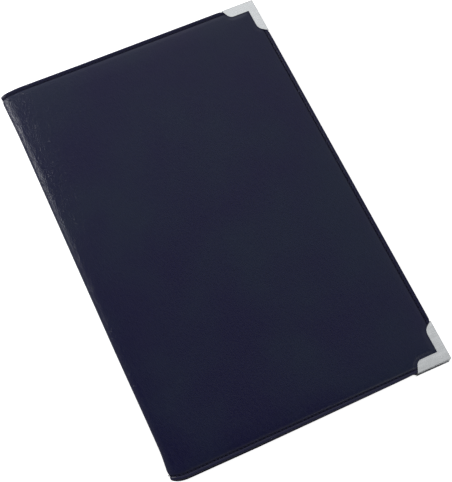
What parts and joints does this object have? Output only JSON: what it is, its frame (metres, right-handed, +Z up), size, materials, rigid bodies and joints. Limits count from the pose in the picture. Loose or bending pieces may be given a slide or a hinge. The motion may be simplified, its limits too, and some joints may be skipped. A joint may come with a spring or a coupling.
{
  "type": "faux leather folder",
  "caption": "Slim padded faux leather document folder with stitched edges, a rounded spine fold, metal corners and flat inside pockets. It opens flat like a book.",
  "frame": {"origin": "middle of the closed folder's footprint, on the surface that it lies on", "axes": "+Z up through the front cover, +Y towards the head, +X from the spine towards the open edge"},
  "size_m": [0.2408, 0.3724, 0.008],
  "materials": {
    "leather": "satin",
    "padding": "matte",
    "board": "matte",
    "lining": "matte",
    "pocket": "matte",
    "corner_metal": "satin"
  },
  "bodies": {
    "back_cover": {"back_leather": "leather", "back_padding": "padding", "back_board": "board", "back_lining": "lining", "back_pocket": "pocket", "back_top_corner": "corner_metal", "back_bottom_corner": "corner_metal"},
    "spine": {"spine_leather": "leather", "spine_lining": "lining"},
    "front_cover": {"front_leather": "leather", "front_padding": "padding", "front_board": "board", "front_lining": "lining", "front_pocket": "pocket", "front_top_corner": "corner_metal", "front_bottom_corner": "corner_metal"}
  },
  "joints": [
    {"name": "back_crease", "type": "hinge", "parent": "back_cover", "child": "spine", "pos_m": [-0.11925, 0, 0.0011], "axis": [0, -1, 0], "range_deg": [0, 90]},
    {"name": "front_crease", "type": "hinge", "parent": "spine", "child": "front_cover", "pos_m": [-0.11925, 0, 0.0069], "axis": [0, -1, 0], "range_deg": [0, 90]}
  ]
}
